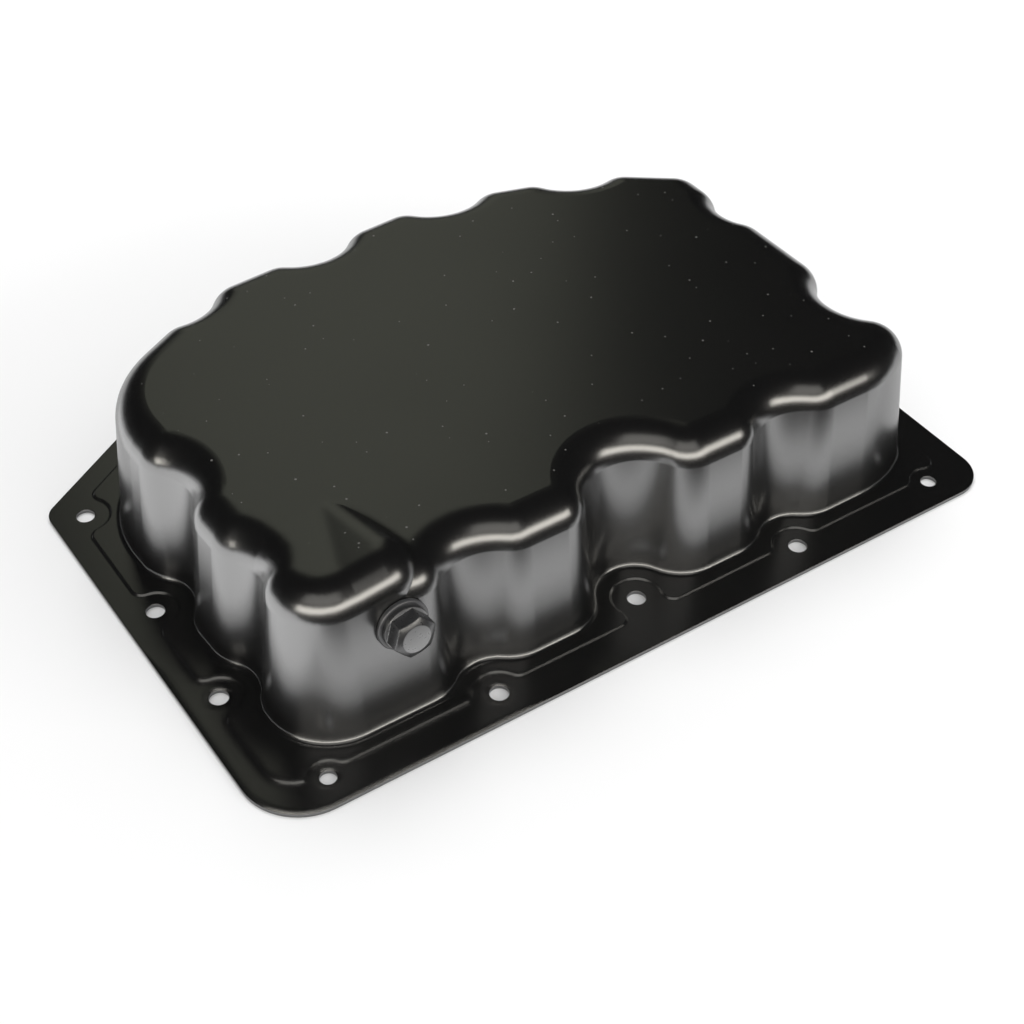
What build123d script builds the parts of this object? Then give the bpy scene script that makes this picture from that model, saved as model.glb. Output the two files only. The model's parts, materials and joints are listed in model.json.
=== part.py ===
from build123d import *
import math
import os

# Lower engine oil pan, lying on its bolting flange with the open side down.
# Millimetres.  X runs along the long front edge, Y to the back, Z up from the mating face.
# Plan positions are measured from the flange's front left corner; at() moves them to the
# part's origin, which is the middle of the flange.

# ---- sheet and flange ---------------------------------------------------------------------
sheet = 1.5
nearly = 0.001               # lengths closer than this count as equal
margin = 1.0                 # cutting bodies reach this far past the sheet
flange_length = 310.0
flange_depth = 234.5
side_edge = 180.6            # straight part of the left and right edges
back_left_x = 73.5           # where the left chamfer meets the back edge
back_left_drop = 8.1         # how far that corner lies in front of the deepest one
back_mid_x = 189.8           # the deepest corner
back_crown = 0.2442          # its rounding brings it back to the flange's depth
back_right_x = 267.7
back_right_drop = 22.2
front_left_radius = 22.5
front_right_radius = 14.0
right_back_radius = 12.0
back_blend_radius = 25.0     # the two shallow corners of the back edge
back_left_radius = 10.0
left_back_radius = 8.0

# ---- bolt holes ---------------------------------------------------------------------------
bolt_hole = 7.0
stud_hole = 6.0
side_edge_to_bolt = 12.2
front_edge_to_bolt = 11.6
middle_bolt_setback = 11.0   # the middle front bolt stands further in than its neighbours
right_edge_to_bolt = 10.0
back_edge_to_bolt = 16.3
right_edge_to_stud = 20.7
left_edge_to_stud = 26.0
socket_radius = 15.4         # the walls keep this far from each bolt's axis
side_socket_radius = 14.8
right_front_socket_radius = 16.0
right_socket_radius = 12.0

# ---- walls and floor ----------------------------------------------------------------------
wall_draft = 5.2
front_wall_inset = 19.5      # walls at the mating face, from the flange's edges
left_front_inset = 22.5
left_back_inset = 17.0
right_wall_inset = 14.6
right_wall_lean = 3.0        # the right wall leans in by this much at its back end
pan_height = 60.5
floor_radius = 12.0
lobe_radius = 18.0           # convex shoulders between the coves
front_left_radius_wall = 24.0
right_lobe_radius = 44.0     # the large arc of the front right lobe
right_lobe_x = 262.0         # its centre in plan
left_back_radius_wall = 52.0
foot_radius = 2.0

# ---- sump: the floor deepens towards the drain plug in two flat facets --------------------
sump_start = (60.9, 70.5)    # where both facets leave the main floor
facet_rise_x = 0.031         # slope of the broad facet along X and along Y
facet_rise_y = 0.138
gutter_rise_x = 0.117        # slope of the steeper facet that leads to the plug
gutter_rise_y = 0.170
sump_right_x = 83.1
sump_right_lean = 7.0        # the sump's right side leans left towards the back
sump_back_y = 90.5           # its hidden back end, inside the main form
sump_blank_height = 75.0
sump_corner_radius = 18.5

# ---- sealing step in the flange: the sheet rises inside this line ------------------------
step_height = 0.8
step_slope = 45.0
step_inset = 9.6             # from the flange's left and back edges
step_front_inset = 14.2
step_right_inset = 11.8
step_to_foot = 3.6           # pads round the bolts end this far from the walls' foot
stud_pad_radius = 7.4
step_corner_radius = 12.0
step_blend_radius = 4.0

# ---- drain plug ---------------------------------------------------------------------------
plug_x = 62.9
plug_height = 43.0
thread_radius = 6.0
thread_clearance = 0.05
wall_hole_clearance = 0.25   # hole in the pan's wall, larger than the boss's bore
gasket_radius = 9.5
gasket_clearance = 0.2
gasket_thickness = 1.8
plug_flange_radius = 8.3
plug_flange_thickness = 2.0
hex_width = 14.0             # across flats
hex_height = 6.2
hex_turn = 12.0
hex_face_radius = 5.2
hex_chamfer = 30.0
boss_radius = 9.0
boss_length = 9.0
shank_past_boss = 1.2
shank_chamfer = 0.8


def at(x, y):
    """A plan position measured from the flange's front left corner."""
    return (x - flange_length / 2, y - flange_depth / 2)


# Bolt centres in plan with the radius of the cove round each, front left corner first.
right_bolt_x = flange_length - right_edge_to_bolt
middle_bolt_y = front_edge_to_bolt + middle_bolt_setback
bolt_f1 = (92.9, front_edge_to_bolt, socket_radius)
bolt_f2 = (159.0, middle_bolt_y, socket_radius)
bolt_f3 = (224.6, front_edge_to_bolt, socket_radius)
bolt_r1 = (right_bolt_x, 66.0, right_front_socket_radius)
bolt_r2 = (right_bolt_x, 136.0, right_socket_radius)
bolt_b3 = (251.5, 203.0, socket_radius)
bolt_b2 = (194.5, flange_depth - back_edge_to_bolt, socket_radius)
bolt_b1 = (132.0, flange_depth - back_edge_to_bolt, socket_radius)
bolt_c1 = (69.0, 211.5, socket_radius)
bolt_l1 = (side_edge_to_bolt, 171.8, socket_radius)
bolt_l2 = (side_edge_to_bolt, 112.0, side_socket_radius)
bolt_l3 = (side_edge_to_bolt, 62.6, side_socket_radius)
bolts = [bolt_f1, bolt_f2, bolt_f3, bolt_r1, bolt_r2, bolt_b3, bolt_b2, bolt_b1, bolt_c1,
         bolt_l1, bolt_l2, bolt_l3]
studs = [(left_edge_to_stud, front_edge_to_bolt),
         (flange_length - right_edge_to_stud, front_edge_to_bolt)]

# Corners of the walls at the mating face.
right_wall_x = flange_length - right_wall_inset
wall_fl = (left_front_inset, front_wall_inset)
wall_fr = (right_wall_x, front_wall_inset)
wall_br = (right_wall_x - right_wall_lean, 168.0)
wall_b2 = (258.3, flange_depth - 41.2)
wall_b1 = (187.5, flange_depth - 19.7)
wall_bl = (82.0, flange_depth - 27.0)
wall_l = (left_back_inset, 172.0)


def line(a, b, inset):
    """A straight run from a to b, moved inwards (to its left): a point and a direction."""
    along = (Vector(*b) - Vector(*a)).normalized()
    inwards = Vector(-along.Y, along.X)
    return (Vector(*a) + inwards * inset, along)


def crossing(first, second):
    """Where two straight runs meet."""
    (p, d), (q, e) = first, second
    span = q - p
    distance = (span.X * e.Y - span.Y * e.X) / (d.X * e.Y - d.Y * e.X)
    return p + d * distance


def moved(run, distance):
    """A straight run moved further inwards."""
    point, along = run
    return (point + Vector(-along.Y, along.X) * distance, along)


def foot_of(point, run):
    """The nearest point of a straight run."""
    start, along = run
    return start + along * (point - start).dot(along)


def corner(first, second, radius):
    """Arc between two straight runs: start, middle and end."""
    centre = crossing(moved(first, radius), moved(second, radius))
    start, end = foot_of(centre, first), foot_of(centre, second)
    middle = centre + ((start - centre) + (end - centre)).normalized() * radius
    return [(start, middle, end)]


def shoulder_centre(run, bolt, cove, radius, side):
    """Centre of the convex arc that joins a cove to a straight run before or after it."""
    start, along = moved(run, radius)
    nearest = foot_of(bolt, (start, along))
    reach = math.sqrt((cove + radius) ** 2 - (nearest - bolt).length ** 2)
    return nearest + along * reach * side


def meeting(first, first_reach, second, second_reach):
    """The point at two given distances from two centres, on the right of their line."""
    span = second - first
    distance = span.length
    along = (first_reach ** 2 - second_reach ** 2 + distance ** 2) / (2 * distance)
    aside = math.sqrt(first_reach ** 2 - along ** 2)
    direction = span.normalized()
    return first + direction * along + Vector(direction.Y, -direction.X) * aside


def cove(before, bolt, after, inset, radius, lobe=None):
    """Shoulder, cove round a bolt and shoulder, as three arcs; the first may leave a lobe."""
    x, y, bolt_radius = bolt
    centre = Vector(x, y)
    cove_radius = bolt_radius + inset
    if lobe is None:
        c1 = shoulder_centre(before, centre, cove_radius, radius, -1)
        t0 = foot_of(c1, before)
    else:
        lobe_centre, lobe_reach = lobe
        c1 = meeting(lobe_centre, lobe_reach - radius, centre, cove_radius + radius)
        t0 = lobe_centre + (c1 - lobe_centre).normalized() * lobe_reach
    c2 = shoulder_centre(after, centre, cove_radius, radius, 1)
    t3 = foot_of(c2, after)
    t1 = centre + (c1 - centre).normalized() * cove_radius
    t2 = centre + (c2 - centre).normalized() * cove_radius
    m1 = c1 + ((t0 - c1) + (t1 - c1)).normalized() * radius
    inwards = Vector(-before[1].Y - after[1].Y, before[1].X + after[1].X)
    chord = t2 - t1
    m2 = Vector(-chord.Y, chord.X).normalized()
    m2 = centre + m2 * math.copysign(cove_radius, m2.dot(inwards))
    m3 = c2 + ((t2 - c2) + (t3 - c2)).normalized() * radius
    return [(t0, m1, t1), (t1, m2, t2), (t2, m3, t3)]


def outline(arcs):
    """Closed sketch of arcs joined by straight runs; a point stands for a sharp corner."""
    with BuildSketch() as shape:
        with BuildLine():
            for i, (start, middle, end) in enumerate(arcs):
                previous = arcs[i - 1][2]
                if (start - previous).length > nearly:
                    Line(at(previous.X, previous.Y), at(start.X, start.Y))
                if middle is not None:
                    ThreePointArc(at(start.X, start.Y), at(middle.X, middle.Y), at(end.X, end.Y))
        make_face()
    return shape.sketch


def sharp(first, second):
    """A corner without a radius."""
    point = crossing(first, second)
    return [(point, None, point)]


def wall_outline(inset):
    """Plan of the walls at the mating face: straight runs between coves round the bolts."""
    radius = lobe_radius - inset
    front = line(wall_fl, wall_fr, inset)
    right = line(wall_fr, wall_br, inset)
    back_right = line(wall_br, wall_b2, inset)
    back_slant = line(wall_b2, wall_b1, inset)
    back = line(wall_b1, wall_bl, inset)
    chamfer = line(wall_bl, wall_l, inset)
    left = line(wall_l, wall_fl, inset)
    arcs = corner(left, front, front_left_radius_wall - inset)
    for bolt in (bolt_f1, bolt_f2, bolt_f3):
        arcs += cove(front, bolt, front, inset, radius)
    lobe_centre = Vector(right_lobe_x, front_wall_inset + right_lobe_radius)
    lobe = (lobe_centre, right_lobe_radius - inset)
    first_cove = cove(right, bolt_r1, right, inset, radius, lobe)
    begin, end = foot_of(lobe_centre, front), first_cove[0][0]
    halfway = ((begin - lobe_centre) + (end - lobe_centre)).normalized()
    arcs += [(begin, lobe_centre + halfway * (right_lobe_radius - inset), end)]
    arcs += first_cove
    arcs += cove(right, bolt_r2, right, inset, radius)
    arcs += corner(right, back_right, radius)
    arcs += cove(back_right, bolt_b3, back_slant, inset, radius)
    arcs += cove(back_slant, bolt_b2, back, inset, radius)
    arcs += cove(back, bolt_b1, back, inset, radius)
    arcs += cove(back, bolt_c1, chamfer, inset, radius)
    arcs += corner(chamfer, left, left_back_radius_wall - inset)
    for bolt in (bolt_l2, bolt_l3):
        arcs += cove(left, bolt, left, inset, radius)
    return outline(arcs)


def sump_outline(inset):
    """Plan of the sump: it shares the left and front walls and has a right side of its own."""
    front = line(wall_fl, wall_fr, inset)
    left = line(wall_l, wall_fl, inset)
    side_back_x = sump_right_x - sump_right_lean
    side = line((sump_right_x, front_wall_inset), (side_back_x, sump_back_y), inset)
    back = line((side_back_x, sump_back_y), (0.0, sump_back_y), inset)
    arcs = corner(left, front, front_left_radius_wall - inset)
    arcs += corner(front, side, sump_corner_radius - inset)
    arcs += sharp(side, back)
    arcs += sharp(back, left)
    arcs += cove(left, bolt_l3, left, inset, lobe_radius - inset)
    return outline(arcs)


def facet(inset, rise_x, rise_y):
    """The sump under one sloping facet of its floor."""
    level = inset / math.cos(math.radians(wall_draft))
    roof = Plane(origin=(*at(*sump_start), pan_height), z_dir=(-rise_x, rise_y, 1.0))
    with BuildPart() as sump:
        with BuildSketch():
            add(sump_outline(level))
        extrude(amount=sump_blank_height, taper=wall_draft)
        split(bisect_by=roof.offset(-inset), keep=Keep.BOTTOM)
        rim = sump.faces().sort_by(Axis.Z)[-1].edges().sort_by(Axis.Y)[:-1]
        fillet(rim, floor_radius - inset)
    return sump.part


def pan_form(inset):
    """The pan as a solid: main form and sump, every face moved inwards by the inset."""
    level = inset / math.cos(math.radians(wall_draft))
    with BuildPart() as main:
        with BuildSketch():
            add(wall_outline(level))
        extrude(amount=pan_height - inset, taper=wall_draft)
        fillet(main.faces().sort_by(Axis.Z)[-1].edges(), floor_radius - inset)
    return main.part + facet(inset, facet_rise_x, facet_rise_y) \
        + facet(inset, gutter_rise_x, gutter_rise_y)


def flange_outline():
    """Plan of the flange: straight front and sides, three-sided back."""
    corners = [(0.0, 0.0, front_left_radius),
               (flange_length, 0.0, front_right_radius),
               (flange_length, side_edge, right_back_radius),
               (back_right_x, flange_depth - back_right_drop, back_blend_radius),
               (back_mid_x, flange_depth + back_crown, back_blend_radius),
               (back_left_x, flange_depth - back_left_drop, back_left_radius),
               (0.0, side_edge, left_back_radius)]
    runs = [line(corners[i][:2], corners[(i + 1) % 7][:2], 0.0) for i in range(7)]
    arcs = []
    for i, (x, y, radius) in enumerate(corners):
        arcs += corner(runs[i - 1], runs[i], radius)
    return outline(arcs)


def pad(bolt):
    """A bolt's place with the radius of the flat pad round it."""
    x, y, cove_radius = bolt
    return (x, y, cove_radius - foot_radius - step_to_foot)


def step_outline(spread):
    """The raised part of the flange, spread outwards by a distance: it goes round every pad."""
    near = step_inset - spread
    blend = step_blend_radius + spread
    round_corner = step_corner_radius + spread
    front = line((0.0, 0.0), (flange_length, 0.0), step_front_inset - spread)
    right = line((flange_length, 0.0), (flange_length, side_edge), step_right_inset - spread)
    back_right = (back_right_x, flange_depth - back_right_drop)
    back_mid = (back_mid_x, flange_depth + back_crown)
    back_left = (back_left_x, flange_depth - back_left_drop)
    slant_1 = line((flange_length, side_edge), back_right, near)
    slant_2 = line(back_right, back_mid, near)
    back = line(back_mid, back_left, near)
    chamfer = line(back_left, (0.0, side_edge), near)
    left = line((0.0, side_edge), (0.0, 0.0), near)
    arcs = corner(left, front, round_corner)
    arcs += cove(front, (*studs[0], stud_pad_radius), front, -spread, blend)
    for bolt in (bolt_f1, bolt_f2, bolt_f3):
        arcs += cove(front, pad(bolt), front, -spread, blend)
    arcs += cove(front, (*studs[1], stud_pad_radius), right, -spread, blend)
    for bolt in (bolt_r1, bolt_r2):
        arcs += cove(right, pad(bolt), right, -spread, blend)
    arcs += corner(right, slant_1, round_corner)
    arcs += cove(slant_1, pad(bolt_b3), slant_2, -spread, blend)
    arcs += cove(slant_2, pad(bolt_b2), back, -spread, blend)
    arcs += cove(back, pad(bolt_b1), back, -spread, blend)
    arcs += cove(back, pad(bolt_c1), chamfer, -spread, blend)
    arcs += cove(chamfer, pad(bolt_l1), left, -spread, blend)
    for bolt in (bolt_l2, bolt_l3):
        arcs += cove(left, pad(bolt), left, -spread, blend)
    return outline(arcs)


# The drain's own frame: Z along the plug's axis, out of the front wall.
draft = math.radians(wall_draft)
drain_point = at(plug_x, front_wall_inset + plug_height * math.tan(draft))
drain = Plane(origin=(*drain_point, plug_height), x_dir=(1, 0, 0),
              z_dir=(0, -math.cos(draft), math.sin(draft)))

# ---- oil pan ------------------------------------------------------------------------------
with BuildPart() as oil_pan:
    with BuildSketch():
        add(flange_outline())
    extrude(amount=sheet)
    with BuildSketch(Plane.XY.offset(sheet)):
        add(step_outline(step_height))
    extrude(amount=step_height, taper=step_slope)
    add(pan_form(0.0))
    ledge = sheet + step_height
    level_faces = oil_pan.faces().filter_by(Axis.Z)
    foot = level_faces.filter_by_position(Axis.Z, ledge - nearly, ledge + nearly)
    fillet(foot.sort_by(SortBy.AREA)[-1].inner_wires()[0].edges(), foot_radius)
    with BuildSketch():
        add(step_outline(0.0))
    extrude(amount=step_height, mode=Mode.SUBTRACT)
    add(pan_form(sheet), mode=Mode.SUBTRACT)
    with BuildSketch():
        for x, y, cove_radius in bolts:
            with Locations(at(x, y)):
                Circle(bolt_hole / 2)
        for x, y in studs:
            with Locations(at(x, y)):
                Circle(stud_hole / 2)
    extrude(amount=sheet, mode=Mode.SUBTRACT)
    with BuildSketch(drain.offset(-sheet - margin)):
        Circle(thread_radius + wall_hole_clearance)
    extrude(amount=sheet + 2 * margin, mode=Mode.SUBTRACT)
    with BuildSketch(drain.offset(-sheet)):
        Circle(boss_radius)
    extrude(amount=-boss_length, mode=Mode.SUBTRACT)

# ---- drain boss: nut welded to the inside of the front wall -------------------------------
with BuildPart() as drain_boss:
    with BuildSketch(drain.offset(-sheet)):
        Circle(boss_radius)
        Circle(thread_radius, mode=Mode.SUBTRACT)
    extrude(amount=-boss_length)

# ---- drain gasket -------------------------------------------------------------------------
with BuildPart() as drain_gasket:
    with BuildSketch(drain):
        Circle(gasket_radius)
        Circle(thread_radius + gasket_clearance, mode=Mode.SUBTRACT)
    extrude(amount=gasket_thickness)

# ---- drain plug: hexagon, flange and threaded shank in one piece --------------------------
hex_face = gasket_thickness + plug_flange_thickness + hex_height
cone_height = (hex_width - hex_face_radius) * math.tan(math.radians(hex_chamfer))
with BuildPart() as drain_plug:
    with BuildSketch(drain.offset(gasket_thickness + plug_flange_thickness)):
        RegularPolygon(hex_width / 2, 6, major_radius=False, rotation=hex_turn)
    extrude(amount=hex_height)
    with BuildSketch(Plane(origin=drain.origin, x_dir=drain.x_dir, z_dir=-drain.y_dir)):
        with BuildLine():
            Polyline((0, hex_face), (hex_face_radius, hex_face),
                     (hex_width, hex_face - cone_height), (hex_width, 0), (0, 0), close=True)
        make_face()
    revolve(axis=Axis(drain.origin, drain.z_dir), mode=Mode.INTERSECT)
    with BuildSketch(drain.offset(gasket_thickness)):
        Circle(plug_flange_radius)
    extrude(amount=plug_flange_thickness)
    with BuildSketch(drain.offset(gasket_thickness)):
        Circle(thread_radius - thread_clearance)
    extrude(amount=-(gasket_thickness + sheet + boss_length + shank_past_boss))
    tip = drain_plug.faces().sort_by(Axis(drain.origin, drain.z_dir))[0]
    chamfer(tip.edges(), shank_chamfer)

os.makedirs("parts", exist_ok=True)
oil_pan.part.label = "oil_pan"
drain_boss.part.label = "drain_boss"
drain_gasket.part.label = "drain_gasket"
drain_plug.part.label = "drain_plug"
export_step(oil_pan.part, "parts/oil_pan.step")
export_step(drain_boss.part, "parts/drain_boss.step")
export_step(drain_gasket.part, "parts/drain_gasket.step")
export_step(drain_plug.part, "parts/drain_plug.step")
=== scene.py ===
import json
import math

import bmesh
import bpy
from bpy.props import FloatProperty, FloatVectorProperty, PointerProperty
from bpy.types import Operator, Panel, PropertyGroup
from mathutils import Matrix, Vector


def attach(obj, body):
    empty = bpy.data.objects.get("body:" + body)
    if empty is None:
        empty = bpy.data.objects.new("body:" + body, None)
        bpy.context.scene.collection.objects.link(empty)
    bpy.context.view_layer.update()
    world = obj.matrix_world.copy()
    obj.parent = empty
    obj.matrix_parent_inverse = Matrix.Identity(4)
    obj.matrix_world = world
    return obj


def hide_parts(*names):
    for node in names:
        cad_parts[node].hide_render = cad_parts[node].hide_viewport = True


bl_info = {
    "name": "Engine oil pan",
    "version": (1, 0, 0),
    "blender": (4, 5, 0),
    "location": "View3D > Sidebar > Oil pan",
    "description": "Dresses a pressed-steel engine oil pan, its drain plug and its gasket",
    "category": "Add Mesh",
}

MM = 0.001
WHITE = (1.0, 1.0, 1.0, 1.0)
ROUND_STEPS = 96
MERGE_DISTANCE = 0.002 * MM
OVERLAP = 0.3 * MM  # how far the thread and the hexagon reach into the plug's flange
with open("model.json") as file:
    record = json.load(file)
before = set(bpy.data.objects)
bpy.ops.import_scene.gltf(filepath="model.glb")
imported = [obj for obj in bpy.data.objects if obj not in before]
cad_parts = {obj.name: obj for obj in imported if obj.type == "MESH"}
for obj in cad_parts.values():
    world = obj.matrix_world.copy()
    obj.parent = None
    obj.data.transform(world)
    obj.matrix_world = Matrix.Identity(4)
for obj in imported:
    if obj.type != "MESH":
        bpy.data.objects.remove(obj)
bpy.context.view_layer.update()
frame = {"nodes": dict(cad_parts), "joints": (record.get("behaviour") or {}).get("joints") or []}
nodes = frame["nodes"]
spin = next(joint for joint in frame["joints"] if joint["name"] == "plug_spin")


def drain_matrix():
    """The drain's own frame: origin in the wall's face, Z out along the plug's axis."""
    z = Vector(spin["axis"]).normalized()
    x = Vector((1.0, 0.0, 0.0))
    y = z.cross(x)
    turn = Matrix((x, y, z)).transposed().to_4x4()
    return Matrix.Translation(Vector(spin["pos_m"])) @ turn


# ---- settings ------------------------------------------------------------------------------
class PaintSettings(PropertyGroup):
    """Finish of the pressed pan"""
    colour: FloatVectorProperty(
        name="Paint colour", description="Black electrocoat on the pressed steel",
        subtype="COLOR", size=4, min=0.0, max=1.0, default=(0.004, 0.004, 0.004, 1.0))
    dust_colour: FloatVectorProperty(
        name="Dust colour", description="Dim specks that lie on the pan's floor",
        subtype="COLOR", size=4, min=0.0, max=1.0, default=(0.1, 0.097, 0.09, 1.0))
    roughness: FloatProperty(
        name="Roughness", description="Sheen of the satin paint",
        subtype="FACTOR", min=0.0, max=1.0, default=0.25)
    edge_radius: FloatProperty(
        name="Edge radius", description="How far the paint rounds the sheet's cut edges",
        unit="LENGTH", min=0.0, default=0.45 * MM)
    crease_radius: FloatProperty(
        name="Crease radius", description="How softly the sump's facets bend into the floor",
        unit="LENGTH", min=0.0, default=4.0 * MM)
    step_radius: FloatProperty(
        name="Step radius", description="How softly the flange's sealing step bends",
        unit="LENGTH", min=0.0, default=0.6 * MM)


class GasketSettings(PropertyGroup):
    """Sizes and colour of the crush washer"""
    outer_radius: FloatProperty(
        name="Outer radius", description="Of the crush washer",
        unit="LENGTH", default=9.5 * MM)
    inner_radius: FloatProperty(
        name="Inner radius", description="Of the crush washer",
        unit="LENGTH", default=6.2 * MM)
    thickness: FloatProperty(
        name="Thickness", description="Between the wall and the plug's flange",
        unit="LENGTH", default=1.8 * MM)
    rounding: FloatProperty(
        name="Rounding", description="Radius of the washer's rim",
        unit="LENGTH", default=0.55 * MM)
    colour: FloatVectorProperty(
        name="Washer colour", description="Dull darkened metal",
        subtype="COLOR", size=4, min=0.0, max=1.0, default=(0.05, 0.05, 0.052, 1.0))


class PlugSettings(PropertyGroup):
    """Sizes and colours of the drain plug"""
    hex_width: FloatProperty(
        name="Across flats", description="Width of the hexagon across its flats",
        unit="LENGTH", default=14.0 * MM)
    hex_height: FloatProperty(
        name="Hexagon height", description="From the flange to the plug's end face",
        unit="LENGTH", default=6.2 * MM)
    hex_turn: FloatProperty(
        name="Hexagon turn", description="How far the tightened hexagon stands turned",
        subtype="ANGLE", default=math.radians(12.0))
    face_radius: FloatProperty(
        name="Face radius", description="Flat end face inside the hexagon's chamfer",
        unit="LENGTH", default=5.2 * MM)
    chamfer: FloatProperty(
        name="Chamfer", description="Slope of the hexagon's chamfer",
        subtype="ANGLE", default=math.radians(22.573))
    flange_radius: FloatProperty(
        name="Flange radius", description="Of the plug's own flange",
        unit="LENGTH", default=8.3 * MM)
    flange_thickness: FloatProperty(
        name="Flange thickness", description="Of the plug's own flange at its rim",
        unit="LENGTH", default=2.0 * MM)
    thread_radius: FloatProperty(
        name="Thread radius", description="Outer radius of the thread",
        unit="LENGTH", default=5.95 * MM)
    thread_pitch: FloatProperty(
        name="Thread pitch", description="Advance in one turn",
        unit="LENGTH", default=1.25 * MM)
    thread_depth: FloatProperty(
        name="Thread depth", description="From crest to root",
        unit="LENGTH", default=0.7 * MM)
    shank_length: FloatProperty(
        name="Shank length", description="Of the threaded rod, from inside the flange to its tip",
        unit="LENGTH", default=13.5 * MM)
    edge_radius: FloatProperty(
        name="Edge radius", description="Rounding of the plug's edges",
        unit="LENGTH", default=0.28 * MM)
    colour: FloatVectorProperty(
        name="Plug colour", description="Black oxide on steel",
        subtype="COLOR", size=4, min=0.0, max=1.0, default=(0.02, 0.02, 0.021, 1.0))
    worn_colour: FloatVectorProperty(
        name="Worn colour", description="Steel that shows along the plug's edges",
        subtype="COLOR", size=4, min=0.0, max=1.0, default=(0.42, 0.42, 0.42, 1.0))


class StudioSettings(PropertyGroup):
    """Floor, lights and reflection cards"""
    floor_colour: FloatVectorProperty(
        name="Floor colour", description="Pale studio floor",
        subtype="COLOR", size=4, min=0.0, max=1.0, default=(0.9, 0.9, 0.9, 1.0))
    front_power: FloatProperty(
        name="Front softbox", description="Power of the softbox in front",
        unit="POWER", default=16.0)
    front_glow: FloatProperty(
        name="Front strip", description="Glow of the strip that the front roundings reflect",
        min=0.0, default=4.0)
    upper_glow: FloatProperty(
        name="Upper strip", description="Fainter glow above it, for softer highlights",
        min=0.0, default=0.6)
    back_glow: FloatProperty(
        name="Back glow", description="Glow that the level faces reflect",
        min=0.0, default=0.24)
    near_glow: FloatProperty(
        name="Near card", description="Glow just in front, which the front walls reflect",
        min=0.0, default=1.4)
    tent_glow: FloatProperty(
        name="Tent", description="Glow of the dark surroundings that the paint reflects elsewhere",
        min=0.0, default=0.012)
    top_power: FloatProperty(
        name="Top softbox", description="Power of the softbox overhead",
        unit="POWER", default=16.0)
    sky: FloatProperty(
        name="Fill", description="Even light from the white surroundings",
        min=0.0, default=0.75)


# ---- materials -----------------------------------------------------------------------------
def add_node(tree, kind, **sockets):
    """A node of a kind; sockets are its values or the outputs that feed it."""
    node = tree.nodes.new(kind)
    for name, value in sockets.items():
        feed(tree, node, name.replace("_", " "), value)
    return node


def feed(tree, node, socket, value):
    """Sets one input by name or number: a link where the value is an output."""
    target = node.inputs[socket]
    if isinstance(value, bpy.types.NodeSocket):
        tree.links.new(value, target)
    else:
        target.default_value = value


def maths(tree, operation, *values, clamp=False):
    """A Math node's output."""
    node = tree.nodes.new("ShaderNodeMath")
    node.operation = operation
    node.use_clamp = clamp
    for i, value in enumerate(values):
        feed(tree, node, i, value)
    return node.outputs[0]


def new_material(name):
    """A node material, its tree and its shader."""
    material = bpy.data.materials.new(name)
    material.use_nodes = True
    tree = material.node_tree
    return material, tree, tree.nodes["Principled BSDF"]


def ramp(tree, value, low, high, start=0.0, end=1.0):
    """Value mapped from low..high to start..end, clamped."""
    node = add_node(tree, "ShaderNodeMapRange", Value=value)
    feed(tree, node, "From Min", low)
    feed(tree, node, "From Max", high)
    feed(tree, node, "To Min", start)
    feed(tree, node, "To Max", end)
    return node.outputs["Result"]


def mixed_colour(tree, share, first, second):
    """The first colour, with a share of the second."""
    node = tree.nodes.new("ShaderNodeMix")
    node.data_type = "RGBA"
    feed(tree, node, "Factor", share)
    feed(tree, node, "A", first)
    feed(tree, node, "B", second)
    return node.outputs["Result"]


def agreement(tree, first, second):
    """How far two directions agree: their dot product."""
    node = tree.nodes.new("ShaderNodeVectorMath")
    node.operation = "DOT_PRODUCT"
    feed(tree, node, 0, first)
    feed(tree, node, 1, second)
    return node.outputs["Value"]


def rounded_normal(tree, radius):
    """Shading normal that rounds edges over a radius."""
    node = tree.nodes.new("ShaderNodeBevel")
    node.samples = 6
    feed(tree, node, "Radius", radius)
    return node.outputs["Normal"]


def bumped(tree, height, strength, distance, normal):
    """A normal with fine relief on it."""
    node = add_node(tree, "ShaderNodeBump", Strength=strength, Distance=distance, Height=height)
    feed(tree, node, "Normal", normal)
    return node.outputs["Normal"]


def finish_shader(tree, shader, ior, **sockets):
    """Feeds a shader's inputs; its clear reflection is twice what the IOR alone gives."""
    for name, value in sockets.items():
        feed(tree, shader, name.replace("_", " "), value)
    feed(tree, shader, "IOR", ior)
    feed(tree, shader, "Specular IOR Level", 1.0)


def dust_specks(tree, place, level, height):
    """One round speck in some cells of a grid, of uneven size, on the pan's raised floor only."""
    cells_per_metre = 105.0
    empty_share = 0.6
    largest_in_cells = 0.045
    floor_starts, floor_full = 50.0 * MM, 55.0 * MM
    grid = tree.nodes.new("ShaderNodeTexVoronoi")
    grid.voronoi_dimensions = "2D"
    feed(tree, grid, "Vector", place)
    feed(tree, grid, "Scale", cells_per_metre)
    chance = add_node(tree, "ShaderNodeSeparateColor", Color=grid.outputs["Color"])
    size = ramp(tree, chance.outputs["Red"], empty_share, 1.0, 0.0, largest_in_cells)
    speck = maths(tree, "LESS_THAN", grid.outputs["Distance"], size)
    on_floor = ramp(tree, height, floor_starts, floor_full)
    return maths(tree, "MULTIPLY", maths(tree, "MULTIPLY", speck, level), on_floor)


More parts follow.
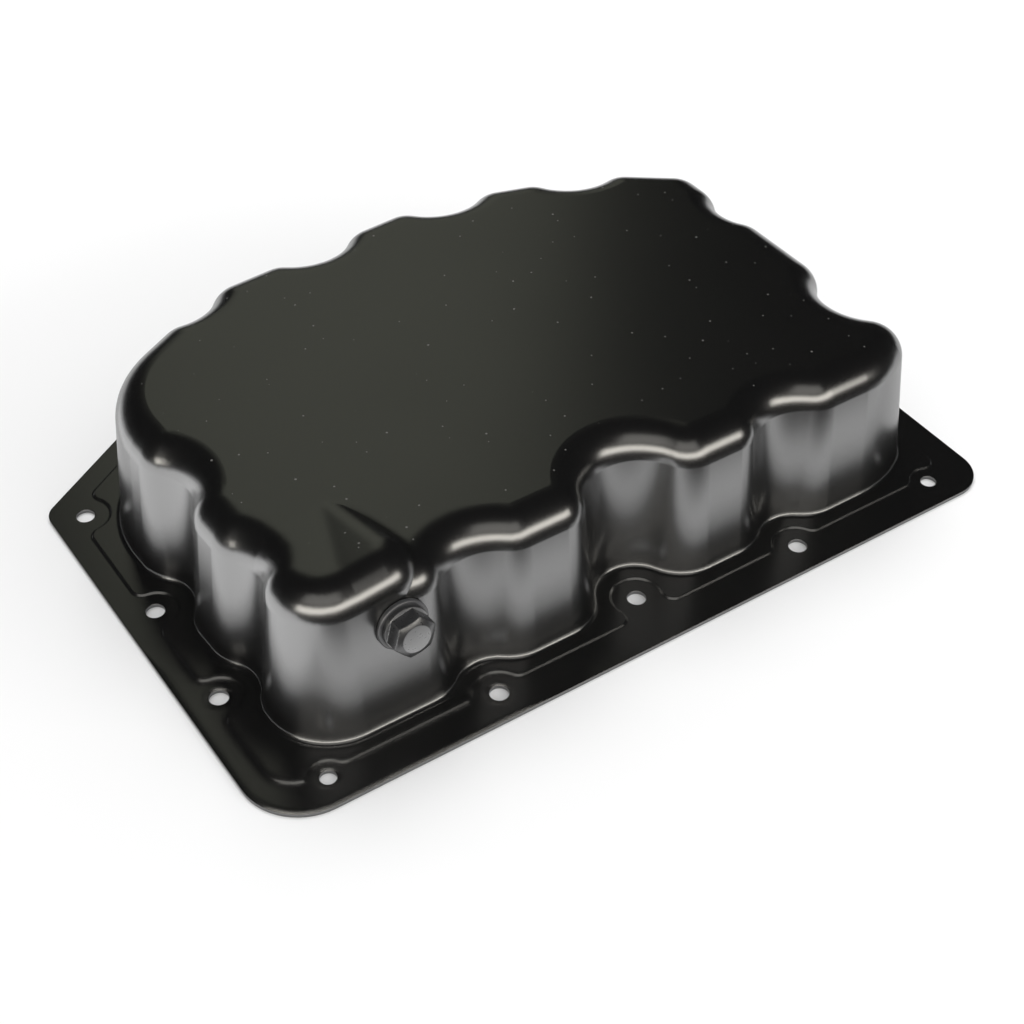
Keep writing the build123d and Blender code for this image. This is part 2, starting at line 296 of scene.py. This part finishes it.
def bend_radius(tree, settings, spot, level):
    """Rounding of the edges: wider on the sump's shallow creases and the flange's sealing step."""
    sump_right, sump_left = -45.0 * MM, -60.0 * MM
    sump_back, sump_front = -20.0 * MM, -35.0 * MM
    step_top, above_step = 3.0 * MM, 4.0 * MM
    across = ramp(tree, spot["X"], sump_right, sump_left)
    along = ramp(tree, spot["Y"], sump_back, sump_front)
    sump = maths(tree, "MULTIPLY", maths(tree, "MULTIPLY", across, along), level)
    radius = ramp(tree, sump, 0.0, 1.0, settings.edge_radius, settings.crease_radius)
    step = ramp(tree, spot["Z"], step_top, above_step, settings.step_radius, 0.0)
    return maths(tree, "MAXIMUM", radius, step)


def black_paint(settings):
    """Satin black electrocoat: faint orange peel, uneven sheen and dust on the pan's floor."""
    unevenness = 0.015
    dust_roughness = 0.5
    material, tree, shader = new_material("black_paint")
    place = tree.nodes.new("ShaderNodeTexCoord").outputs["Object"]
    normal = tree.nodes.new("ShaderNodeNewGeometry").outputs["Normal"]
    clouds = add_node(tree, "ShaderNodeTexNoise", Vector=place, Scale=22.0, Detail=1.0)
    peel = add_node(tree, "ShaderNodeTexNoise", Vector=place, Scale=700.0, Detail=2.0)
    spot = add_node(tree, "ShaderNodeSeparateXYZ", Vector=place).outputs
    up = add_node(tree, "ShaderNodeSeparateXYZ", Vector=normal).outputs["Z"]
    # full on faces within 14 degrees of level, none past 22 degrees
    level = ramp(tree, up, 0.93, 0.97)
    dust = dust_specks(tree, place, level, spot["Z"])
    sheen = ramp(tree, clouds.outputs[0], 0.1, 0.9,
                 settings.roughness - unevenness, settings.roughness + unevenness)
    rough = maths(tree, "ADD", sheen, maths(tree, "MULTIPLY", dust, dust_roughness), clamp=True)
    rounded = rounded_normal(tree, bend_radius(tree, settings, spot, level))
    finish_shader(tree, shader, ior=1.9,
                  Base_Color=mixed_colour(tree, dust, settings.colour, settings.dust_colour),
                  Roughness=rough,
                  Normal=bumped(tree, peel.outputs[0], 0.05, 0.05 * MM, rounded))
    return material


def worn_metal(name, dark, worn, rough, edge, bare_face=0.0):
    """Dark metal, worn bright along its edges and partly on its outward faces."""
    outwards = drain_matrix().to_3x3() @ Vector((0.0, 0.0, 1.0))
    material, tree, shader = new_material(name)
    place = tree.nodes.new("ShaderNodeTexCoord").outputs["Object"]
    flat = tree.nodes.new("ShaderNodeNewGeometry").outputs["Normal"]
    soft = rounded_normal(tree, edge)
    grain = add_node(tree, "ShaderNodeTexNoise", Vector=place, Scale=900.0, Detail=3.0).outputs[0]
    # an edge is where the rounded normal leaves the flat one
    edges = ramp(tree, agreement(tree, flat, soft), 0.995, 0.93)
    patchy = maths(tree, "MULTIPLY", edges, ramp(tree, grain, 0.35, 0.6, 0.3, 1.0))
    outer_faces = ramp(tree, agreement(tree, flat, outwards), 0.97, 0.99, 0.0, bare_face)
    bare = maths(tree, "MAXIMUM", patchy, outer_faces)
    finish_shader(tree, shader, ior=1.55,
                  Base_Color=mixed_colour(tree, bare, dark, worn),
                  Roughness=ramp(tree, grain, 0.3, 0.7, rough - 0.04, rough + 0.06),
                  Normal=bumped(tree, grain, 0.12, 0.03 * MM, soft),
                  Metallic=bare)
    return material


def glow(name, strength, colour=WHITE):
    """Plain emission for a studio card."""
    material = bpy.data.materials.new(name)
    material.use_nodes = True
    tree = material.node_tree
    tree.nodes.clear()
    emission = add_node(tree, "ShaderNodeEmission", Color=colour, Strength=strength)
    add_node(tree, "ShaderNodeOutputMaterial", Surface=emission.outputs[0])
    return material


# ---- geometry node trees -------------------------------------------------------------------
def new_tree(name, **sizes):
    """A geometry node tree with an input for each size and one for the material."""
    tree = bpy.data.node_groups.new(name, "GeometryNodeTree")
    face = tree.interface
    for size, default in sizes.items():
        label = size.replace("_", " ")
        socket = face.new_socket(name=label, in_out="INPUT", socket_type="NodeSocketFloat")
        socket.default_value = default
    face.new_socket(name="Material", in_out="INPUT", socket_type="NodeSocketMaterial")
    face.new_socket(name="Geometry", in_out="OUTPUT", socket_type="NodeSocketGeometry")
    start = tree.nodes.new("NodeGroupInput")
    end = tree.nodes.new("NodeGroupOutput")
    return tree, start.outputs, end.inputs


def finish_tree(tree, start, end, geometry):
    """Closes a tree with Realize Instances and Set Material."""
    real = add_node(tree, "GeometryNodeRealizeInstances", Geometry=geometry)
    paint = add_node(tree, "GeometryNodeSetMaterial",
                     Geometry=real.outputs[0], Material=start["Material"])
    tree.links.new(paint.outputs[0], end["Geometry"])


def grow(tree, name, values):
    """The tree's result as a plain mesh, with its inputs set by identifier."""
    holder = bpy.data.objects.new(name, bpy.data.meshes.new(name))
    bpy.context.scene.collection.objects.link(holder)
    modifier = holder.modifiers.new(name, "NODES")
    modifier.node_group = tree
    for item in tree.interface.items_tree:
        if item.in_out == "INPUT" and item.name in values:
            modifier[item.identifier] = values[item.name]
    graph = bpy.context.evaluated_depsgraph_get()
    mesh = bpy.data.meshes.new_from_object(holder.evaluated_get(graph))
    bpy.data.objects.remove(holder)
    return mesh


def ring_tree():
    """A washer: a rounded rectangle carried round a circle."""
    tree, start, end = new_tree("washer_ring", Outer_radius=9.5 * MM, Inner_radius=6.2 * MM,
                                Thickness=1.8 * MM, Rounding=0.5 * MM)
    outer, inner = start["Outer radius"], start["Inner radius"]
    middle = maths(tree, "MULTIPLY", maths(tree, "ADD", outer, inner), 0.5)
    width = maths(tree, "SUBTRACT", outer, inner)
    circle = add_node(tree, "GeometryNodeCurvePrimitiveCircle",
                      Resolution=ROUND_STEPS, Radius=middle)
    profile = add_node(tree, "GeometryNodeCurvePrimitiveQuadrilateral",
                       Width=width, Height=start["Thickness"])
    soft = tree.nodes.new("GeometryNodeFilletCurve")
    soft.mode = "POLY"
    feed(tree, soft, "Count", 5)
    feed(tree, soft, "Curve", profile.outputs[0])
    feed(tree, soft, "Radius", start["Rounding"])
    sweep = add_node(tree, "GeometryNodeCurveToMesh",
                     Curve=circle.outputs[0], Profile_Curve=soft.outputs[0])
    finish_tree(tree, start, end, sweep.outputs[0])
    return tree


def thread_tree():
    """A threaded rod: a fine cylinder whose radius follows the thread's ramp."""
    tree, start, end = new_tree("threaded_shank", Radius=5.95 * MM, Length=13.5 * MM,
                                Pitch=1.25 * MM, Depth=0.7 * MM, Plain_tip=1.0 * MM)
    crest_share = 0.12
    flank_slope = 1.25
    rod = tree.nodes.new("GeometryNodeMeshCylinder")
    rod.fill_type = "TRIANGLE_FAN"
    feed(tree, rod, "Vertices", 72)
    feed(tree, rod, "Side Segments", 108)
    feed(tree, rod, "Fill Segments", 1)
    feed(tree, rod, "Radius", start["Radius"])
    feed(tree, rod, "Depth", start["Length"])
    place = tree.nodes.new("GeometryNodeInputPosition").outputs[0]
    x, y, z = add_node(tree, "ShaderNodeSeparateXYZ", Vector=place).outputs
    # the wave runs from 0 in the middle of a crest to 1 in the middle of a root
    turn = maths(tree, "DIVIDE", maths(tree, "ARCTAN2", y, x), math.tau)
    turns = maths(tree, "SUBTRACT", maths(tree, "DIVIDE", z, start["Pitch"]), turn)
    off_middle = maths(tree, "SUBTRACT", maths(tree, "FRACT", turns), 0.5)
    wave = maths(tree, "MULTIPLY", maths(tree, "ABSOLUTE", off_middle), 2.0)
    flank = maths(tree, "MULTIPLY", maths(tree, "SUBTRACT", wave, crest_share), flank_slope,
                  clamp=True)
    # both ends narrow to the root
    half = maths(tree, "MULTIPLY", start["Length"], 0.5)
    from_end = maths(tree, "SUBTRACT", half, maths(tree, "ABSOLUTE", z))
    tip = maths(tree, "SUBTRACT", 1.0, maths(tree, "DIVIDE", from_end, start["Plain tip"]),
                clamp=True)
    depth = maths(tree, "MULTIPLY", start["Depth"], maths(tree, "MAXIMUM", flank, tip))
    share = maths(tree, "SUBTRACT", 1.0, maths(tree, "DIVIDE", depth, start["Radius"]))
    cut = add_node(tree, "ShaderNodeCombineXYZ", X=maths(tree, "MULTIPLY", x, share),
                   Y=maths(tree, "MULTIPLY", y, share), Z=z)
    shaped = add_node(tree, "GeometryNodeSetPosition",
                      Geometry=rod.outputs["Mesh"], Position=cut.outputs[0])
    finish_tree(tree, start, end, shaped.outputs[0])
    return tree


# ---- pieces --------------------------------------------------------------------------------
def piece(name, mesh, body, node, material):
    """A finished piece at the origin that stands for a CAD node and rides on its body."""
    mesh.materials.clear()
    mesh.materials.append(material)
    mesh.validate()
    mesh.update()
    thing = bpy.data.objects.new(name, mesh)
    bpy.context.scene.collection.objects.link(thing)
    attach(thing, body)
    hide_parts(node)


def smooth_by_angle(mesh, angle):
    """Smooth shading, with edges sharper than the angle kept sharp."""
    work = bmesh.new()
    work.from_mesh(mesh)
    bmesh.ops.remove_doubles(work, verts=work.verts, dist=MERGE_DISTANCE)
    bmesh.ops.recalc_face_normals(work, faces=work.faces)
    for face in work.faces:
        face.smooth = True
    for edge in work.edges:
        if len(edge.link_faces) == 2:
            edge.smooth = edge.calc_face_angle() < angle
    work.to_mesh(mesh)
    work.free()


def lathe(rings, bottom, top):
    """A closed mesh through rings of points, with a centre at the bottom and at the top."""
    count = ROUND_STEPS
    work = bmesh.new()
    loops = [[work.verts.new(point(math.tau * i / count)) for i in range(count)] for point in rings]
    for low, high in zip(loops, loops[1:]):
        for i in range(count):
            j = (i + 1) % count
            work.faces.new((low[i], low[j], high[j], high[i]))
    for loop, height in ((loops[0], bottom), (loops[-1], top)):
        middle = work.verts.new((0.0, 0.0, height))
        for i in range(count):
            work.faces.new((middle, loop[i], loop[(i + 1) % count]))
    bmesh.ops.recalc_face_normals(work, faces=work.faces)
    mesh = bpy.data.meshes.new("lathe")
    work.to_mesh(mesh)
    work.free()
    return mesh


def circle_ring(radius, height, turn=0.0):
    """Points of a circle at a height, turned by an angle."""
    return lambda angle: (radius * math.cos(angle + turn), radius * math.sin(angle + turn), height)


def rounded_edges(mesh, radius):
    """The mesh with its sharp edges rounded."""
    holder = bpy.data.objects.new("rounding", mesh)
    bpy.context.scene.collection.objects.link(holder)
    bevel = holder.modifiers.new("rounding", "BEVEL")
    bevel.width = radius
    bevel.segments = 3
    bevel.limit_method = "ANGLE"
    bevel.angle_limit = math.radians(18.0)
    graph = bpy.context.evaluated_depsgraph_get()
    result = bpy.data.meshes.new_from_object(holder.evaluated_get(graph))
    bpy.data.objects.remove(holder)
    return result


def plug_flange(settings, seat):
    """The plug's round flange, standing on its seat."""
    top = seat + settings.flange_thickness
    inner = settings.thread_radius - 1.0 * MM
    rings = [circle_ring(inner, seat), circle_ring(settings.flange_radius, seat),
             circle_ring(settings.flange_radius, top), circle_ring(inner, top)]
    return rounded_edges(lathe(rings, seat, top), settings.edge_radius)


def plug_hexagon(settings, seat):
    """The plug's chamfered hexagon, which reaches a little way into its flange."""
    apothem = settings.hex_width / 2
    foot = seat + settings.flange_thickness - OVERLAP
    end_face = seat + settings.flange_thickness + settings.hex_height
    sixth = math.pi / 3

    def hex_ring(height_of):
        def point(angle):
            turned = angle + settings.hex_turn
            radius = apothem / math.cos(angle % sixth - sixth / 2)
            return (radius * math.cos(turned), radius * math.sin(turned), height_of(radius))
        return point

    def chamfer_height(radius):
        drop = (radius - settings.face_radius) * math.tan(settings.chamfer)
        return end_face - max(0.0, drop)

    rings = [hex_ring(lambda radius: foot), hex_ring(chamfer_height),
             circle_ring(settings.face_radius, end_face, settings.hex_turn)]
    return rounded_edges(lathe(rings, foot, end_face), settings.edge_radius)


def joined(meshes, name):
    """Several meshes as one."""
    work = bmesh.new()
    for mesh in meshes:
        work.from_mesh(mesh)
    result = bpy.data.meshes.new(name)
    work.to_mesh(result)
    work.free()
    return result


# ---- operators -----------------------------------------------------------------------------
class OILPAN_OT_paint_pan(Operator):
    """Paint the pressed pan with satin black electrocoat and dust"""
    bl_idname = "oilpan.paint_pan"
    bl_label = "Paint the pan"

    def execute(self, context):
        paint = black_paint(context.scene.oilpan_paint)
        for name in ("oil_pan", "drain_boss"):
            mesh = nodes[name].data
            mesh.materials.clear()
            mesh.materials.append(paint)
        return {"FINISHED"}


class OILPAN_OT_make_gasket(Operator):
    """Make the crush washer under the drain plug"""
    bl_idname = "oilpan.make_gasket"
    bl_label = "Make the gasket"

    def execute(self, context):
        settings = context.scene.oilpan_gasket
        worn_rim = (0.6, 0.6, 0.6, 1.0)
        metal = worn_metal("gasket_metal", settings.colour, worn_rim, rough=0.36, edge=0.3 * MM)
        mesh = grow(ring_tree(), "gasket_ring", {
            "Outer radius": settings.outer_radius, "Inner radius": settings.inner_radius,
            "Thickness": settings.thickness, "Rounding": settings.rounding, "Material": metal})
        mesh.transform(drain_matrix() @ Matrix.Translation((0, 0, settings.thickness / 2)))
        smooth_by_angle(mesh, angle=math.radians(50.0))
        piece("gasket_ring", mesh, "gasket", "drain_gasket", metal)
        return {"FINISHED"}


class OILPAN_OT_make_plug(Operator):
    """Make the drain plug: flange, chamfered hexagon and threaded shank"""
    bl_idname = "oilpan.make_plug"
    bl_label = "Make the drain plug"

    def execute(self, context):
        settings = context.scene.oilpan_plug
        seat = context.scene.oilpan_gasket.thickness
        metal = worn_metal("plug_black_oxide", settings.colour, settings.worn_colour,
                           rough=0.3, edge=0.35 * MM, bare_face=0.5)
        thread = grow(thread_tree(), "plug_thread", {
            "Radius": settings.thread_radius, "Length": settings.shank_length,
            "Pitch": settings.thread_pitch, "Depth": settings.thread_depth,
            "Plain tip": 1.0 * MM, "Material": metal})
        middle = seat + OVERLAP - settings.shank_length / 2
        thread.transform(Matrix.Translation((0, 0, middle)))
        head = [plug_flange(settings, seat), plug_hexagon(settings, seat)]
        mesh = joined([thread, *head], "drain_plug_body")
        mesh.transform(drain_matrix())
        smooth_by_angle(mesh, angle=math.radians(30.0))
        piece("drain_plug_body", mesh, "plug", "drain_plug", metal)
        return {"FINISHED"}


# ---- stage ---------------------------------------------------------------------------------
def rectangle(name, left, right, front, back, height=0.0):
    """A level face between two X and two Y places."""
    mesh = bpy.data.meshes.new(name)
    corners = [(left, front, height), (right, front, height),
               (right, back, height), (left, back, height)]
    mesh.from_pydata(corners, [], [(0, 1, 2, 3)])
    return mesh


def set_camera(scene):
    """The camera: in front, to the left and above, tilted down at the pan."""
    lens = bpy.data.cameras.new("camera")
    lens.lens = 67.22
    lens.sensor_width = 36.0
    tilt_down = math.radians(42.66)
    turn_right = math.radians(33.535)
    camera = bpy.data.objects.new("camera", lens)
    camera.location = (-0.3004, -0.47305, 0.489)
    camera.rotation_euler = (math.pi / 2 - tilt_down, 0.0, -turn_right)
    scene.collection.objects.link(camera)
    scene.camera = camera


def lay_floor(scene, colour):
    """A wide matt floor without gloss, so that it mirrors none of the cards."""
    reach = 6.0
    mesh = rectangle("floor", -reach, reach, -reach, reach)
    floor = bpy.data.objects.new("floor", mesh)
    scene.collection.objects.link(floor)
    material, tree, shader = new_material("floor")
    feed(tree, shader, "Base Color", colour)
    feed(tree, shader, "Roughness", 0.9)
    feed(tree, shader, "Specular IOR Level", 0.0)
    mesh.materials.append(material)


def light_world(scene, fill):
    """A white world; what it throws on matt surfaces is dimmed to the fill."""
    world = bpy.data.worlds.new("studio")
    scene.world = world
    world.use_nodes = True
    tree = world.node_tree
    tree.nodes.clear()
    path = tree.nodes.new("ShaderNodeLightPath").outputs
    seen = maths(tree, "ADD", path["Is Camera Ray"], path["Is Glossy Ray"])
    seen = maths(tree, "ADD", seen, path["Is Transmission Ray"], clamp=True)
    background = add_node(tree, "ShaderNodeBackground", Color=WHITE,
                          Strength=ramp(tree, seen, 0.0, 1.0, fill, 1.0))
    add_node(tree, "ShaderNodeOutputWorld", Surface=background.outputs[0])


def softbox(name, place, width, height, power):
    """A rectangular area light that looks at the pan and shows in no reflection."""
    target = Vector((0.0, 0.0, 30.0 * MM))
    lamp = bpy.data.lights.new(name, "AREA")
    lamp.shape = "RECTANGLE"
    lamp.size = width
    lamp.size_y = height
    lamp.energy = power
    holder = bpy.data.objects.new(name, lamp)
    holder.location = place
    holder.rotation_euler = (target - Vector(place)).to_track_quat("-Z", "Y").to_euler()
    holder.visible_glossy = False
    bpy.context.scene.collection.objects.link(holder)


def add_card(name, mesh, material):
    """A stage object that shapes reflections alone, as a studio flag does."""
    mesh.materials.append(material)
    thing = bpy.data.objects.new(name, mesh)
    thing.visible_camera = False
    thing.visible_diffuse = False
    thing.visible_shadow = False
    thing.visible_transmission = False
    bpy.context.scene.collection.objects.link(thing)


def graded_card(name, mesh, front, back, front_glow, back_glow):
    """A level card whose glow changes from one Y place to another."""
    material = glow(name, 1.0)
    tree = material.node_tree
    place = tree.nodes.new("ShaderNodeTexCoord").outputs["Object"]
    along = add_node(tree, "ShaderNodeSeparateXYZ", Vector=place).outputs["Y"]
    strength = ramp(tree, along, front, back, front_glow, back_glow)
    feed(tree, tree.nodes["Emission"], "Strength", strength)
    add_card(name, mesh, material)


def glow_band(name, start, end, low, high, strength, colour):
    """Upright curved card between two headings, in degrees right of -Y, and two elevations."""
    distance = 2.0
    steps = 24
    corners = []
    for step in range(steps + 1):
        heading = math.radians(start + (end - start) * step / steps)
        for elevation in (math.radians(low), math.radians(high)):
            corners.append((distance * math.sin(heading) * math.cos(elevation),
                            -distance * math.cos(heading) * math.cos(elevation),
                            distance * math.sin(elevation)))
    faces = [(2 * i, 2 * i + 1, 2 * i + 3, 2 * i + 2) for i in range(steps)]
    mesh = bpy.data.meshes.new(name)
    mesh.from_pydata(corners, [], faces)
    add_card(name, mesh, glow(name, strength, colour))


def dark_tent(strength):
    """A dark tent round the part that only its reflections show."""
    work = bmesh.new()
    bmesh.ops.create_icosphere(work, subdivisions=4, radius=5.0)
    mesh = bpy.data.meshes.new("dark_tent")
    work.to_mesh(mesh)
    work.free()
    add_card("dark_tent", mesh, glow("dark_tent", strength))


def set_reflections(settings):
    """Bright and dark cards for the paint: bands round the part and level cards on the floor."""
    warm, pale_warm, green_white = (1.0, 0.96, 0.88), (1.0, 0.98, 0.92), (0.97, 1.0, 0.82)
    for name, start, end, low, high, strength, tint in (
            ("front_strip", -80.0, 38.0, 8.0, 24.0, settings.front_glow, warm),
            ("upper_strip", -80.0, 10.0, 34.0, 60.0, settings.upper_glow, pale_warm),
            ("back_glow", 143.0, 170.0, 14.0, 56.0, settings.back_glow, green_white)):
        glow_band(name, start, end, low, high, strength, (*tint, 1.0))

    # level cards just over the floor: bright at the left and in front, dark further forward
    near_left, near_right = -0.165, 0.3
    near_front, near_back = -0.167, -0.128
    card_height, strip_height = 1.5 * MM, 2.0 * MM
    side = rectangle("left_floor_card", -0.7, near_left, -0.3, 0.35, card_height)
    graded_card("left_floor_card", side, front=-0.3, back=-0.1, front_glow=1.3, back_glow=1.8)
    near = rectangle("near_floor_card", near_left, near_right, near_front, near_back, card_height)
    graded_card("near_floor_card", near, front=near_front, back=-0.147,
                front_glow=0.0, back_glow=settings.near_glow)
    strip = rectangle("dark_strip", -4.0, 4.0, -4.5, near_front, strip_height)
    add_card("dark_strip", strip, glow("dark_strip", 0.0))


class OILPAN_OT_make_stage(Operator):
    """Set the floor, the lights, the reflection cards, the world and the camera"""
    bl_idname = "oilpan.make_stage"
    bl_label = "Make the stage"

    def execute(self, context):
        scene = context.scene
        settings = scene.oilpan_studio
        scene.view_settings.view_transform = "Standard"
        set_camera(scene)
        lay_floor(scene, settings.floor_colour)
        light_world(scene, settings.sky)
        softbox("front_softbox", (0.8, -1.7, 0.66), width=1.6, height=0.6,
                power=settings.front_power)
        softbox("top_softbox", (0.40, 0.85, 1.77), width=1.3, height=1.3,
                power=settings.top_power)
        dark_tent(settings.tent_glow)
        set_reflections(settings)
        return {"FINISHED"}


class OILPAN_PT_panel(Panel):
    """Steps and settings of the oil pan"""
    bl_idname = "OILPAN_PT_panel"
    bl_label = "Oil pan"
    bl_space_type = "VIEW_3D"
    bl_region_type = "UI"
    bl_category = "Oil pan"

    def draw(self, context):
        for group in (context.scene.oilpan_paint, context.scene.oilpan_gasket,
                      context.scene.oilpan_plug, context.scene.oilpan_studio):
            for key in group.__annotations__:
                self.layout.prop(group, key)
        for step in OPERATORS:
            self.layout.operator(step.bl_idname)


SETTINGS = {"oilpan_paint": PaintSettings, "oilpan_gasket": GasketSettings,
            "oilpan_plug": PlugSettings, "oilpan_studio": StudioSettings}
OPERATORS = (OILPAN_OT_paint_pan, OILPAN_OT_make_gasket, OILPAN_OT_make_plug, OILPAN_OT_make_stage)


def register():
    for kind in (*SETTINGS.values(), *OPERATORS, OILPAN_PT_panel):
        bpy.utils.register_class(kind)
    for name, kind in SETTINGS.items():
        setattr(bpy.types.Scene, name, PointerProperty(type=kind))


def unregister():
    for name in SETTINGS:
        delattr(bpy.types.Scene, name)
    for kind in reversed((*SETTINGS.values(), *OPERATORS, OILPAN_PT_panel)):
        bpy.utils.unregister_class(kind)


def main():
    register()
    bpy.ops.oilpan.paint_pan()
    bpy.ops.oilpan.make_gasket()
    bpy.ops.oilpan.make_plug()
    bpy.ops.oilpan.make_stage()


if __name__ == "__main__":
    main()
